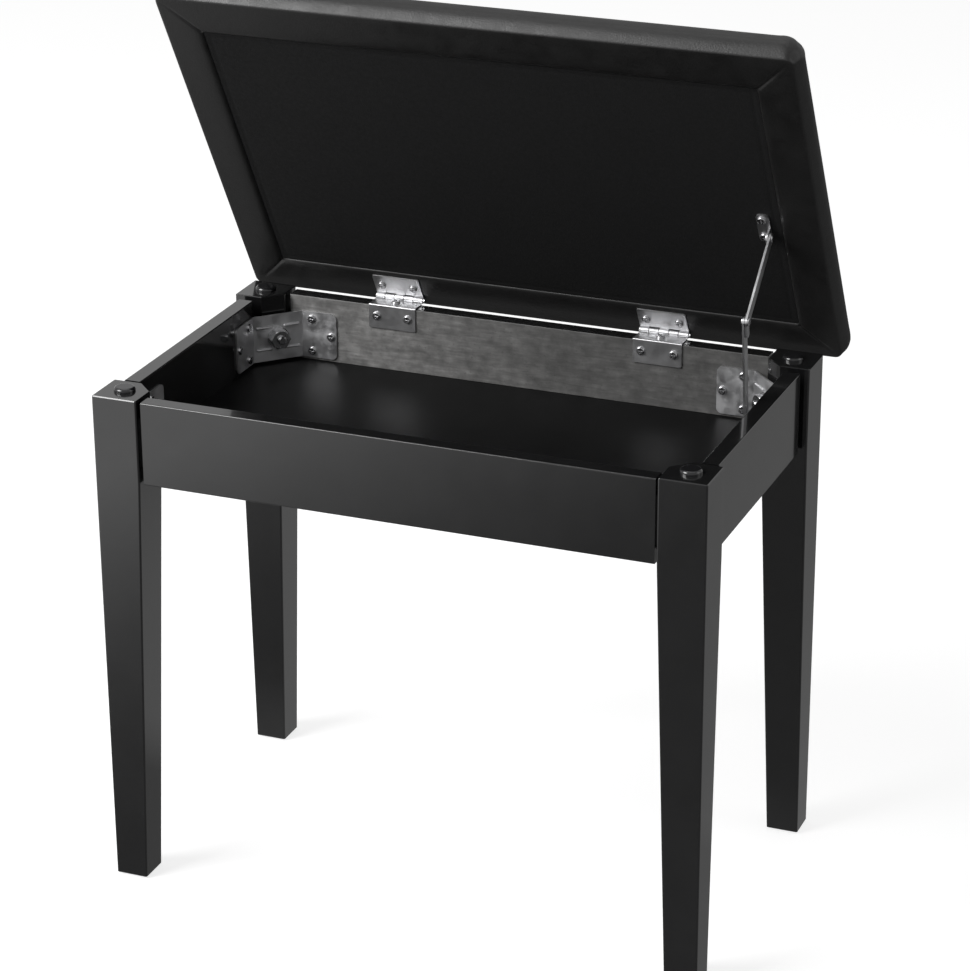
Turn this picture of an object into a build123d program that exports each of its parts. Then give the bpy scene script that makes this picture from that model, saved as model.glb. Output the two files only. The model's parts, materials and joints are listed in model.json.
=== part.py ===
from build123d import *
import math
import os

os.makedirs("parts", exist_ok=True)

# Sizes are in millimetres. X runs along the bench, Y from its front to its back, and Z up from
# the floor. Everything is drawn about the middle of the four feet, the lid closed and then swung
# open, and the finished assembly is moved so that its origin is the middle of its box on the floor.

# Overall frame
frame_width = 529.0  # across the outer faces of the legs
frame_depth = 309.0
leg_height = 442.0

# Legs
leg_side = 40.5  # square block that takes the rails
leg_foot_side = 28.5  # square at the floor, tapered on the two inner faces
leg_corner_flat = 15.0  # flat across the inner corner, for the hanger bolt
leg_edge_round = 1.5
glide_diameter = 22.0
glide_height = 2.0
glide_edge_round = 0.9
glide_nail_diameter = 2.6
glide_nail_length = 14.0
bumper_diameter = 18.0
bumper_height = 3.7
bumper_edge_round = 2.6

# Rails and the floor of the compartment
rail_height = 72.0
rail_thickness = 14.5
rail_drop = 2.0  # rail tops below leg tops
long_rail_inset = 3.0  # front and back rails behind the leg faces
side_rail_inset = 6.0
rail_edge_round = 1.0
long_reveal_width = 2.5  # shadow line between a rail's end and the leg
side_reveal_width = 6.5
stub_thickness = 7.0  # stub on the rail's end that butts on the leg
stub_drop = 15.0  # below the rail top and above its lower edge
floor_rise = 9.0  # underside of the floor above the rail's lower edge
floor_thickness = 4.0
groove_depth = 5.0
groove_clearance = 0.25
floor_end_clearance = 0.5

# Corner brackets and their hanger bolts
bracket_thickness = 1.5
bracket_height = 42.5
bracket_drop = 14.0  # below the rail tops
bracket_corner_reach = 33.5  # from the corner of the rails to each bend
bracket_flange = 33.5
bracket_corner_round = 5.0
rib_start = 6.5  # a rib's round ends, along the plate from the bolt
rib_end = 19.0
rib_spacing = 20.6  # one rib above the bolt and one below it, on each side of the washer
rib_radius = 1.4
bolt_diameter = 8.0
bolt_in_leg = 28.0
bolt_past_nut = 3.0
washer_diameter = 19.6
washer_thickness = 1.4
nut_across_flats = 16.0
nut_height = 7.6
bracket_pair_offset = 9.9  # the two outer screws, from the bend
bracket_pair_spacing = 30.0
bracket_lone_offset = 28.3  # the single screw, from the bend

# Screws
screw_head = 7.6
screw_head_height = 2.0
screw_shank = 3.4
screw_length = 11.0
screw_slot = 0.9
screw_slot_length = 4.6
screw_slot_depth = 1.1
pilot_clearance = 0.1  # radial, in wood
plate_hole_clearance = 0.25  # radial, in sheet metal

# Hinges
hinge_offset = 123.0  # from the middle of the bench
hinge_width = 44.0
hinge_sheet = 1.2
hinge_drop = 20.5  # frame leaf down the inside of the back rail
hinge_reach = 24.0  # lid leaf from the axis
hinge_behind_rail = 2.5  # axis behind the back rail's outer face
knuckle_radius = 2.7
knuckle_count = 5
knuckle_gap = 0.7
knuckle_notch = 0.4
hinge_pin_radius = 1.3
hinge_pin_clearance = 0.05
hinge_pin_head = 2.2
hinge_pin_head_height = 1.4
hinge_screw_spacing = 29.6
hinge_screw_drop = 9.4  # below the rail top
hinge_top_screw_inset = 6.5  # from the rail's outer face
hinge_lid_screw_reach = 12.5  # from the axis
hinge_corner_round = 1.2
hinge_bend_round = 1.1  # outside of the frame leaf's bend

# Lid and cushion
lid_width = 543.0  # flat underside, between the folds of the cover
lid_depth = 348.0
lid_shift = 7.0  # to the right of the frame's middle
lid_clearance = 0.3  # above the bumpers when closed
lid_behind_axis = 7.5
lid_open_angle = 60.0
cover_wall = 6.0  # padded edge outside the board
cover_thickness = 2.0
cover_clearance = 0.15
border_side = 33.0  # cover turned under the lid
border_front = 36.0
border_rear = 35.0
border_thickness = 3.0
border_edge_round = 1.4
board_thickness = 12.0
dust_thickness = 0.8
dust_clearance = 0.25
cushion_height = 40.0  # underside to crown
cushion_bulge = 7.5
cushion_corner = 6.0  # in plan, where the cover turns under
cushion_corner_gain = 9.0  # added to the corner at the widest level
cushion_shoulder = 0.375  # widest level as a share of the height
cushion_wall_power = 0.8
cushion_crown_reach = 130.0  # from the widest level in to the flat of the crown
cushion_crown_power = 1.2
cushion_crown_rounding = 0.12  # growth of the corner towards the crown
cushion_wall_steps = 4
cushion_crown_steps = 10

# Folding stay on the right
stay_sheet = 1.5
link_thickness = 1.8
link_width = 8.4
link_gap = 0.3
stay_pin_radius = 2.2
stay_pin_clearance = 0.06
stay_fixed_clearance = 0.02
stay_head_radius = 3.6
stay_head_height = 1.3
stay_lid_reach = 140.4  # lid pivot from the hinge axis
stay_lid_drop = 5.3  # lid pivot under the border's face
stay_elbow_y = 23.5
stay_elbow_rise = 71.0  # above the rail top
stay_rail_y = 35.5
stay_rail_drop = 25.5  # below the rail top
stay_tail = 11.0  # stop beyond the elbow
stay_border_clearance = 9.6  # ear from the turned-under cover
lid_plate_width = 11.0
lid_plate_length = 31.0
lid_plate_screw_spacing = 19.5
lid_plate_lead = 4.0  # plate's middle ahead of the lid pivot
rail_plate_width = 14.0
rail_plate_length = 42.0
rail_plate_screw_spacing = 29.0
rail_boss_radius = 4.2

# Worked-out places
half_width = frame_width / 2
half_depth = frame_depth / 2
leg_top = glide_height + leg_height
rail_top = leg_top - rail_drop
rail_bottom = rail_top - rail_height
floor_bottom = rail_bottom + floor_rise
floor_top = floor_bottom + floor_thickness
long_rail_outer = half_depth - long_rail_inset
long_rail_inner = long_rail_outer - rail_thickness
side_rail_outer = half_width - side_rail_inset
side_rail_inner = side_rail_outer - rail_thickness
lid_under = leg_top + bumper_height + lid_clearance
hinge_y = long_rail_outer + hinge_behind_rail
hinge_z = (rail_top + lid_under) / 2
lid_rear = hinge_y + lid_behind_axis
lid_middle = lid_rear - lid_depth / 2
board_bottom = lid_under + border_thickness
board_top = board_bottom + board_thickness
dust_bottom = board_bottom - dust_thickness
bracket_top = rail_top - bracket_drop
bracket_middle = bracket_top - bracket_height / 2
pilot_radius = screw_shank / 2 + pilot_clearance
plate_hole_radius = screw_shank / 2 + plate_hole_clearance
hinge_axis = Axis((0, hinge_y, hinge_z), (1, 0, 0))
corner_names = {(-1, -1): "front_left", (1, -1): "front_right", (-1, 1): "back_left", (1, 1): "back_right"}

pieces = {}


def slab(x0, x1, y0, y1, z0, z1):
    """A box between two corners."""
    centre = ((x0 + x1) / 2, (y0 + y1) / 2, (z0 + z1) / 2)
    return Pos(*centre) * Box(abs(x1 - x0), abs(y1 - y0), abs(z1 - z0))


def rod(point, direction, radius, length):
    """A cylinder that starts at a point."""
    return Plane(origin=point, z_dir=direction) * extrude(Circle(radius), length)


def prism(points, z0, z1):
    """A plan outline raised from one height to another."""
    return Pos(0, 0, z0) * extrude(make_face(Polyline(*points, close=True)), z1 - z0)


def solid_of(shape):
    """The single solid that a boolean leaves."""
    found = shape.solids()
    assert len(found) == 1, len(found)
    return found[0]


def four_corners(shape):
    """The back right piece and its three mirror images, by corner."""
    copies = {}
    for (sx, sy), name in corner_names.items():
        copy = shape
        if sx < 0:
            copy = mirror(copy, about=Plane.YZ)
        if sy < 0:
            copy = mirror(copy, about=Plane.XZ)
        copies[name] = copy
    return copies


def swing_open(shape):
    """A lid piece, drawn closed, at the angle that the stay holds."""
    return shape.rotate(hinge_axis, -lid_open_angle)


def pan_screw():
    """A pan head screw that seats at the origin and runs down."""
    head = extrude(Circle(screw_head / 2), screw_head_height)
    head = fillet(head.faces().sort_by(Axis.Z)[-1].edges(), screw_head_height * 0.6)
    shank = Pos(0, 0, -screw_length) * extrude(Circle(screw_shank / 2), screw_length)
    shank = chamfer(shank.faces().sort_by(Axis.Z)[0].edges(), screw_shank * 0.3)
    slot = Box(screw_slot_length, screw_slot, 2 * screw_slot_depth)
    cross = slot + Rot(0, 0, 90) * slot
    return solid_of(head + shank - Pos(0, 0, screw_head_height) * cross)


screw_shape = pan_screw()


def screws_at(seats):
    """One solid for each seat, a point and the direction that the head faces."""
    return [Plane(origin=point, z_dir=normal) * screw_shape for point, normal in seats]


def holes_at(seats, radius):
    """What each screw clears in the pieces that it passes through."""
    deep = screw_length + 0.5
    return [
        Plane(origin=point, z_dir=normal) * (Pos(0, 0, -deep) * extrude(Circle(radius), deep + 2))
        for point, normal in seats
    ]


def drilled(shape, holes):
    """A shape less a list of holes."""
    for hole in holes:
        shape = shape - hole
    return shape


# Where the screws sit. Each seat is the face under the head.
corner_x = side_rail_inner
corner_y = long_rail_inner
flange_face_y = corner_y - bracket_thickness
flange_face_x = corner_x - bracket_thickness
bracket_spots = []
for along, rise in (
    (bracket_pair_offset, bracket_pair_spacing / 2),
    (bracket_pair_offset, -bracket_pair_spacing / 2),
    (bracket_lone_offset, 0),
):
    reach = bracket_corner_reach + along
    bracket_spots.append(((corner_x - reach, flange_face_y, bracket_middle + rise), (0, -1, 0)))
    bracket_spots.append(((flange_face_x, corner_y - reach, bracket_middle + rise), (-1, 0, 0)))
bracket_seats = [
    ((sx * p[0], sy * p[1], p[2]), (sx * n[0], sy * n[1], n[2]))
    for sx, sy in corner_names
    for p, n in bracket_spots
]

hinge_frame_seats = []
hinge_lid_seats = []
for side in (-1, 1):
    middle = side * hinge_offset
    for across in (-hinge_screw_spacing / 2, hinge_screw_spacing / 2):
        spot = (middle + across, long_rail_inner - hinge_sheet, rail_top - hinge_screw_drop)
        hinge_frame_seats.append((spot, (0, -1, 0)))
        spot = (middle + across, hinge_y - hinge_lid_screw_reach, lid_under - hinge_sheet)
        hinge_lid_seats.append((spot, (0, 0, -1)))
    spot = (middle, long_rail_outer - hinge_top_screw_inset, rail_top + hinge_sheet)
    hinge_frame_seats.append((spot, (0, 0, 1)))

# Planes of the stay, counted from the lid's ear out to the right rail
ear_outer = lid_shift + lid_width / 2 - border_side - stay_border_clearance
ear_inner = ear_outer - stay_sheet
upper_inner = ear_outer + link_gap
upper_outer = upper_inner + link_thickness
lower_outer = ear_outer
lower_inner = lower_outer - link_thickness
lid_plate_x = ear_outer - lid_plate_width / 2
lid_pivot_y = hinge_y - stay_lid_reach
lid_pivot_z = lid_under - stay_lid_drop
lid_plate_y = lid_pivot_y - lid_plate_lead
rail_pivot = (stay_rail_y, rail_top - stay_rail_drop)
elbow = (stay_elbow_y, rail_top + stay_elbow_rise)
open_turn = math.radians(lid_open_angle)
reach_y = lid_pivot_y - hinge_y
reach_z = lid_pivot_z - hinge_z
lid_pivot = (
    hinge_y + reach_y * math.cos(open_turn) + reach_z * math.sin(open_turn),
    hinge_z - reach_y * math.sin(open_turn) + reach_z * math.cos(open_turn),
)
stay_lid_seats = [
    ((lid_plate_x - stay_sheet / 2, lid_plate_y + along, dust_bottom - stay_sheet), (0, 0, -1))
    for along in (-lid_plate_screw_spacing / 2, lid_plate_screw_spacing / 2)
]
stay_rail_seats = [
    ((side_rail_inner - stay_sheet, rail_pivot[0], rail_pivot[1] + along), (-1, 0, 0))
    for along in (-rail_plate_screw_spacing / 2, rail_plate_screw_spacing / 2)
]

# The hanger bolt's line at the back right corner, from the bracket's outer face towards the leg
diagonal = Plane(
    origin=(corner_x - bracket_corner_reach / 2, corner_y - bracket_corner_reach / 2, bracket_middle),
    x_dir=(1, -1, 0),
    z_dir=(1, 1, 0),
)
flat_sum = half_width + half_depth - 2 * leg_side + leg_corner_flat
plate_sum = corner_x + corner_y - bracket_corner_reach
flat_ahead = (flat_sum - plate_sum) / math.sqrt(2)
washer_face = -bracket_thickness
nut_face = washer_face - washer_thickness
bolt_inner = nut_face - nut_height - bolt_past_nut
bolt_outer = flat_ahead + bolt_in_leg
bolt_hole_radius = bolt_diameter / 2 + pilot_clearance


def leg_block(clearance=0.0):
    """Plan of the back right leg at the rails, its inner corner flattened."""
    inner_x = half_width - leg_side - clearance
    inner_y = half_depth - leg_side - clearance
    return [
        (half_width, half_depth),
        (half_width, inner_y),
        (inner_x + leg_corner_flat, inner_y),
        (inner_x, inner_y + leg_corner_flat),
        (inner_x, half_depth),
    ]


def leg_square(side, height):
    """A square with eased corners that shares the leg's outer corner."""
    outline = RectangleRounded(side, side, leg_edge_round)
    return Pos(half_width - side / 2, half_depth - side / 2, height) * outline


def make_legs():
    """Square-topped legs, tapered inwards below the rails."""
    block = extrude(leg_square(leg_side, rail_bottom), leg_top - rail_bottom)
    block = block & prism(leg_block(), rail_bottom, leg_top)
    block = chamfer(block.faces().sort_by(Axis.Z)[-1].edges(), leg_edge_round / 2)
    taper = loft([leg_square(leg_foot_side, glide_height), leg_square(leg_side, rail_bottom)])
    leg = block + taper
    bolt_way = extrude(Circle(bolt_hole_radius), bolt_outer - bolt_inner + 1)
    bolt_hole = diagonal * (Pos(0, 0, bolt_inner) * bolt_way)
    foot = half_width - leg_foot_side / 2, half_depth - leg_foot_side / 2
    nail_radius = glide_nail_diameter / 2 + pilot_clearance
    nail_hole = rod((*foot, 0), (0, 0, 1), nail_radius, glide_height + glide_nail_length + 0.5)
    leg = solid_of(leg - bolt_hole - nail_hole)
    for name, copy in four_corners(leg).items():
        pieces["leg_" + name] = copy


def make_glides_and_bumpers():
    """Nail-on glides under the legs and round bumpers on top of them."""
    foot_x = half_width - leg_foot_side / 2
    foot_y = half_depth - leg_foot_side / 2
    disc = Pos(foot_x, foot_y, 0) * extrude(Circle(glide_diameter / 2), glide_height)
    disc = fillet(disc.edges().sort_by(Axis.Z)[0], glide_edge_round)
    nail = rod((foot_x, foot_y, glide_height), (0, 0, 1), glide_nail_diameter / 2, glide_nail_length)
    top_x = half_width - leg_side / 2
    top_y = half_depth - leg_side / 2
    bumper = Pos(top_x, top_y, leg_top) * extrude(Circle(bumper_diameter / 2), bumper_height)
    bumper = fillet(bumper.edges().sort_by(Axis.Z)[-1], bumper_edge_round)
    for name, copy in four_corners(solid_of(disc + nail)).items():
        pieces["glide_" + name] = copy
    for name, copy in four_corners(solid_of(bumper)).items():
        pieces["bumper_" + name] = copy


def rail_blank(length, inner, outer, reveal):
    """A rail along X: eased edges, a butting stub at each end and a groove for the floor."""
    half = length / 2
    rail = slab(reveal - half, half - reveal, inner, outer, rail_bottom, rail_top)
    rail = fillet(rail.edges().filter_by(Axis.X), rail_edge_round)
    middle = (inner + outer) / 2
    stub = (middle - stub_thickness / 2, middle + stub_thickness / 2)
    rail = rail + slab(-half, half, *stub, rail_bottom + stub_drop, rail_top - stub_drop)
    groove = (inner - 1, inner + groove_depth, floor_bottom, floor_top + groove_clearance)
    return rail - slab(-half - 1, half + 1, *groove)


def make_rails():
    """Two long rails and two side rails, drilled for the hardware on them."""
    long_clear = frame_width - 2 * leg_side
    side_clear = frame_depth - 2 * leg_side
    back = rail_blank(long_clear, long_rail_inner, long_rail_outer, long_reveal_width)
    left = Rot(0, 0, 90) * rail_blank(side_clear, side_rail_inner, side_rail_outer, side_reveal_width)
    front = mirror(back, about=Plane.XZ)
    right = mirror(left, about=Plane.YZ)
    bracket_holes = holes_at(bracket_seats, pilot_radius)
    hinge_holes = holes_at(hinge_frame_seats, pilot_radius)
    stay_holes = holes_at(stay_rail_seats, pilot_radius)
    pieces["rail_front"] = solid_of(drilled(front, bracket_holes))
    pieces["rail_back"] = solid_of(drilled(back, bracket_holes + hinge_holes))
    pieces["rail_left"] = solid_of(drilled(left, bracket_holes))
    pieces["rail_right"] = solid_of(drilled(right, bracket_holes + stay_holes))


def make_floor():
    """The compartment's floor, notched around the legs."""
    x = side_rail_inner + groove_depth - floor_end_clearance
    y = long_rail_inner + groove_depth - floor_end_clearance
    panel = slab(-x, x, -y, y, floor_bottom, floor_top)
    notch = prism(leg_block(floor_end_clearance), floor_bottom - 1, floor_top + 1)
    for copy in four_corners(notch).values():
        panel = panel - copy
    pieces["floor_panel"] = solid_of(panel)


def make_brackets():
    """Pressed steel corner brackets with short ribs beside the hanger bolt."""
    t = bracket_thickness
    miter = math.tan(math.radians(22.5)) * t
    bend_x = corner_x - bracket_corner_reach
    bend_y = corner_y - bracket_corner_reach
    end_x = bend_x - bracket_flange
    end_y = bend_y - bracket_flange
    outline = [
        (end_x, corner_y),
        (bend_x, corner_y),
        (corner_x, bend_y),
        (corner_x, end_y),
        (corner_x - t, end_y),
        (corner_x - t, bend_y - miter),
        (bend_x - miter, corner_y - t),
        (end_x, corner_y - t),
    ]
    plate = prism(outline, bracket_top - bracket_height, bracket_top)
    free_ends = [e for e in plate.edges().filter_by(Axis.Y) if e.center().X < end_x + 0.1]
    free_ends += [e for e in plate.edges().filter_by(Axis.X) if e.center().Y < end_y + 0.1]
    plate = fillet(free_ends, bracket_corner_round)
    rib = Rot(0, 90, 0) * Cylinder(rib_radius, rib_end - rib_start)
    for end in (-1, 1):
        rib = rib + Pos(end * (rib_end - rib_start) / 2, 0, 0) * Sphere(rib_radius)
    for end in (-1, 1):
        for side in (-1, 1):
            place = Pos(end * (rib_start + rib_end) / 2, side * rib_spacing / 2, -t)
            plate = plate + diagonal * (place * rib)
    bolt_way = extrude(Circle(bolt_diameter / 2 + plate_hole_clearance), 2 * t, both=True)
    plate = drilled(plate - diagonal * bolt_way, holes_at(bracket_spots, plate_hole_radius))
    for name, copy in four_corners(solid_of(plate)).items():
        pieces["bracket_" + name] = copy

    bolt = diagonal * (Pos(0, 0, bolt_inner) * extrude(Circle(bolt_diameter / 2), bolt_outer - bolt_inner))
    bolt = chamfer(bolt.faces().sort_by(Axis((0, 0, 0), (1, 1, 0)))[0].edges(), bolt_diameter / 8)
    bore = Circle(bolt_diameter / 2 + pilot_clearance)
    ring = extrude(Circle(washer_diameter / 2) - bore, washer_thickness)
    washer = diagonal * (Pos(0, 0, nut_face) * ring)
    hexagon = RegularPolygon(nut_across_flats / 2, 6, major_radius=False)
    block = extrude(hexagon, nut_height)
    block = block & fillet(extrude(Circle(nut_across_flats * 0.57), nut_height).edges(), nut_height / 6)
    nut = diagonal * (Pos(0, 0, nut_face - nut_height) * (block - extrude(bore, nut_height)))
    pieces["hanger_bolts"] = list(four_corners(solid_of(bolt)).values())
    pieces["bracket_washers"] = list(four_corners(solid_of(washer)).values())
    pieces["bracket_nuts"] = list(four_corners(solid_of(nut)).values())
    pieces["bracket_screws"] = screws_at(bracket_seats)


def knuckles(first):
    """Every second knuckle of one hinge, counted along its axis."""
    pitch = (hinge_width + knuckle_gap) / knuckle_count
    for index in range(first, knuckle_count, 2):
        start = -hinge_width / 2 + index * pitch
        yield start, start + pitch - knuckle_gap


def with_knuckles(leaf, own, other):
    """A leaf rolled round the pin at its own knuckles and notched at the other leaf's."""
    notch = knuckle_radius + knuckle_notch
    for x0, x1 in other:
        leaf = leaf - slab(x0 - knuckle_gap, x1 + knuckle_gap, -notch, notch, -notch, notch)
    for x0, x1 in own:
        leaf = leaf + rod((x0, 0, 0), (1, 0, 0), knuckle_radius, x1 - x0)
    pin_way = rod((-hinge_width, 0, 0), (1, 0, 0), hinge_pin_radius + hinge_pin_clearance, 2 * hinge_width)
    return solid_of(leaf - pin_way)


def make_hinges():
    """Two butt hinges, drawn about their axis with the lid closed."""
    half = hinge_width / 2
    t = hinge_sheet
    seat_z = rail_top - hinge_z
    inner_y = long_rail_inner - hinge_y
    lid_z = lid_under - hinge_z

    over = slab(-half, half, inner_y - t, 0, seat_z, seat_z + t)
    down = slab(-half, half, inner_y - t, inner_y, seat_z - hinge_drop, seat_z + t)
    low = [e for e in down.edges().filter_by(Axis.Y) if e.center().Z < seat_z - hinge_drop + 0.1]
    frame_leaf = over + fillet(low, hinge_corner_round)
    bend = frame_leaf.edges().filter_by(Axis.X).sort_by_distance((0, inner_y - t, seat_z + t))[0:1]
    frame_leaf = fillet(bend, hinge_bend_round)
    frame_leaf = with_knuckles(frame_leaf, knuckles(1), knuckles(0))

    lid_leaf = slab(-half, half, -hinge_reach, 0, lid_z - t, lid_z)
    far = [e for e in lid_leaf.edges().filter_by(Axis.Z) if e.center().Y < 0.1 - hinge_reach]
    lid_leaf = with_knuckles(fillet(far, hinge_corner_round), knuckles(0), knuckles(1))

    pin = rod((-half, 0, 0), (1, 0, 0), hinge_pin_radius, hinge_width + knuckle_gap)
    head = rod((half + knuckle_gap, 0, 0), (1, 0, 0), hinge_pin_head, hinge_pin_head_height)
    pin = solid_of(pin + head)

    frame_holes = holes_at(hinge_frame_seats, plate_hole_radius)
    lid_holes = holes_at(hinge_lid_seats, plate_hole_radius)
    for name, side in (("left", -1), ("right", 1)):
        place = Pos(side * hinge_offset, hinge_y, hinge_z)
        pieces["hinge_frame_leaf_" + name] = solid_of(drilled(place * frame_leaf, frame_holes))
        pieces["hinge_lid_leaf_" + name] = swing_open(solid_of(drilled(place * lid_leaf, lid_holes)))
        pieces["hinge_pin_" + name] = place * pin
    pieces["hinge_frame_screws"] = screws_at(hinge_frame_seats)
    pieces["hinge_lid_screws"] = [swing_open(s) for s in screws_at(hinge_lid_seats)]


def cushion_form(inset):
    """The cushion's outside, or the same form drawn in all round for what lies under the cover."""
    height = cushion_height - 2 * inset
    shoulder = height * cushion_shoulder
    levels = []
    for step in range(cushion_wall_steps):
        share = step / cushion_wall_steps
        swell = math.sin(math.pi / 2 * share) ** cushion_wall_power
        corner = cushion_corner + cushion_corner_gain * share
        levels.append((share * shoulder, cushion_bulge * swell, corner))
    for step in range(cushion_crown_steps + 1):
        turn = math.pi / 2 * step / cushion_crown_steps
        rise = shoulder + (height - shoulder) * math.sin(turn)
        inward = cushion_crown_reach * (1 - math.cos(turn)) ** cushion_crown_power
        corner = cushion_corner + cushion_corner_gain + cushion_crown_rounding * inward
        levels.append((rise, cushion_bulge - inward, corner))
    sections = []
    for rise, grow, corner in levels:
        grow = grow - inset
        outline = RectangleRounded(lid_width + 2 * grow, lid_depth + 2 * grow, corner - inset)
        sections.append(Pos(lid_shift, lid_middle, lid_under + inset + rise) * outline)
    return loft(sections, ruled=True)


def make_cushion():
    """A crowned foam pad and the cover drawn over it and down past the board."""
    half_x = lid_width / 2 - cover_wall
    half_y = lid_depth / 2 - cover_wall
    across = (lid_shift - half_x, lid_shift + half_x)
    pocket = slab(*across, lid_middle - half_y, lid_middle + half_y, lid_under - 1, board_top)
    cover = cushion_form(0) - cushion_form(cover_thickness) - pocket
    foam = cushion_form(cover_thickness + cover_clearance) - pocket
    pieces["seat_cover"] = swing_open(solid_of(cover))
    pieces["seat_foam"] = swing_open(solid_of(foam))


def make_lid():
    """The board, the cover turned under it in four mitred strips, and the dust cover."""
    left = lid_shift - lid_width / 2 + cover_wall
    right = lid_shift + lid_width / 2 - cover_wall
    rear = lid_rear - cover_wall
    front = lid_rear - lid_depth + cover_wall
    inner_left = lid_shift - lid_width / 2 + border_side
    inner_right = lid_shift + lid_width / 2 - border_side
    inner_rear = lid_rear - border_rear
    inner_front = lid_rear - lid_depth + border_front
    holes = holes_at(hinge_lid_seats + stay_lid_seats, pilot_radius)

    board = slab(left, right, front, rear, board_bottom, board_top)
    pieces["lid_board"] = swing_open(solid_of(drilled(board, holes)))

    outer = [(left, front), (right, front), (right, rear), (left, rear)]
    inner = [
        (inner_left, inner_front),
        (inner_right, inner_front),
        (inner_right, inner_rear),
        (inner_left, inner_rear),
    ]
    strips = []
    for here in range(4):
        there = (here + 1) % 4
        strip = prism([outer[here], outer[there], inner[there], inner[here]], lid_under, board_bottom)
        middle_x = (inner[here][0] + inner[there][0]) / 2
        middle_y = (inner[here][1] + inner[there][1]) / 2
        edge = strip.edges().sort_by_distance((middle_x, middle_y, lid_under))[0:1]
        strips.append(swing_open(solid_of(drilled(fillet(edge, border_edge_round), holes))))
    pieces["cover_border"] = strips

    c = dust_clearance
    inside = (inner_left + c, inner_right - c, inner_front + c, inner_rear - c)
    dust = slab(*inside, dust_bottom, board_bottom)
    pieces["dust_cover"] = swing_open(solid_of(drilled(dust, holes)))


def side_plane(x):
    """A plane across the bench in which outlines are drawn as (Y, Z)."""
    return Plane(origin=(x, 0, 0), x_dir=(0, 1, 0), z_dir=(1, 0, 0))


def bar(x0, x1, start, end, width):
    """A flat bar with round ends between two pivots given as (Y, Z)."""
    dy = end[0] - start[0]
    dz = end[1] - start[1]
    middle = Pos((start[0] + end[0]) / 2, (start[1] + end[1]) / 2)
    turn = Rot(0, 0, math.degrees(math.atan2(dz, dy)))
    outline = middle * turn * SlotCenterToCenter(math.hypot(dy, dz), width)
    return side_plane(x0) * extrude(outline, x1 - x0)


def pivot_rod(x0, x1, place, radius):
    """A round piece across the bench at a pivot."""
    return rod((x0, *place), (1, 0, 0), radius, x1 - x0)


def rivet_head(x, place, direction):
    """A low domed head that seats at x."""
    head = rod((x, *place), (direction, 0, 0), stay_head_radius, stay_head_height)
    top = head.faces().sort_by(Axis.X)[-1 if direction > 0 else 0]
    return fillet(top.edges(), stay_head_height * 0.6)


def make_stay():
    """The two-link stay between the right rail and the lid, drawn with the lid open."""
    snug = stay_pin_radius + stay_fixed_clearance
    loose = stay_pin_radius + stay_pin_clearance
    slack = 0.2

    plate_ends = [
        (rail_pivot[0], rail_pivot[1] + s * (rail_plate_length - rail_plate_width) / 2) for s in (-1, 1)
    ]
    plate = bar(side_rail_inner - stay_sheet, side_rail_inner, *plate_ends, rail_plate_width)
    plate = drilled(plate, holes_at(stay_rail_seats, plate_hole_radius))
    pieces["stay_rail_plate"] = solid_of(plate)
    pieces["stay_rail_screws"] = screws_at(stay_rail_seats)
    stud = pivot_rod(lower_outer + link_gap, side_rail_inner - stay_sheet, rail_pivot, rail_boss_radius)
    stud = stud + pivot_rod(lower_inner - slack, lower_outer + link_gap, rail_pivot, stay_pin_radius)
    pieces["stay_rail_stud"] = solid_of(stud + rivet_head(lower_inner - slack, rail_pivot, -1))

    lower = bar(lower_inner, lower_outer, rail_pivot, elbow, link_width)
    lower = lower - pivot_rod(lower_inner - 1, lower_outer + 1, rail_pivot, loose)
    lower = lower - pivot_rod(lower_inner - 1, lower_outer + 1, elbow, snug)
    pieces["stay_lower_link"] = solid_of(lower)
    tail_rivet = pivot_rod(lower_inner, lower_outer, elbow, stay_pin_radius)
    pieces["stay_elbow_tail"] = solid_of(tail_rivet + rivet_head(lower_inner, elbow, -1))

    length = math.hypot(elbow[0] - rail_pivot[0], elbow[1] - rail_pivot[1])
    stop = tuple(e + (r - e) * stay_tail / length for e, r in zip(elbow, rail_pivot))
    upper = bar(upper_inner, upper_outer, elbow, lid_pivot, link_width)
    upper = upper + bar(upper_inner, upper_outer, elbow, stop, link_width * 0.7)
    upper = upper - pivot_rod(upper_inner - 1, upper_outer + 1, elbow, snug)
    upper = upper - pivot_rod(upper_inner - 1, upper_outer + 1, lid_pivot, loose)
    pieces["stay_upper_link"] = solid_of(upper)
    head_rivet = pivot_rod(upper_inner, upper_outer, elbow, stay_pin_radius)
    pieces["stay_elbow_head"] = solid_of(head_rivet + rivet_head(upper_outer, elbow, 1))

    closed_pivot = (lid_pivot_y, lid_pivot_z)
    outline = RectangleRounded(lid_plate_width, lid_plate_length, lid_plate_width * 0.3)
    flat = Pos(lid_plate_x, lid_plate_y) * outline
    ear_root = (lid_pivot_y, dust_bottom - stay_sheet)
    ear_width = link_width + 2
    ear = bar(ear_inner, ear_outer, ear_root, closed_pivot, ear_width)
    beyond = (lid_pivot_y - ear_width, lid_pivot_y + ear_width, dust_bottom, board_top)
    ear = ear - slab(ear_inner - 1, ear_outer + 1, *beyond)
    bracket = Pos(0, 0, dust_bottom - stay_sheet) * extrude(flat, stay_sheet) + ear
    bracket = bracket - pivot_rod(ear_inner - 1, ear_outer + 1, closed_pivot, snug)
    bracket = drilled(bracket, holes_at(stay_lid_seats, plate_hole_radius))
    pieces["stay_lid_bracket"] = swing_open(solid_of(bracket))
    pieces["stay_lid_screws"] = [swing_open(s) for s in screws_at(stay_lid_seats)]
    rivet = pivot_rod(ear_inner, upper_outer + slack, closed_pivot, stay_pin_radius)
    rivet = rivet + rivet_head(upper_outer + slack, closed_pivot, 1)
    rivet = rivet + rivet_head(ear_inner, closed_pivot, -1)
    pieces["stay_lid_rivet"] = swing_open(solid_of(rivet))


make_legs()
make_glides_and_bumpers()
make_rails()
make_floor()
make_brackets()
make_hinges()
make_cushion()
make_lid()
make_stay()

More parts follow.
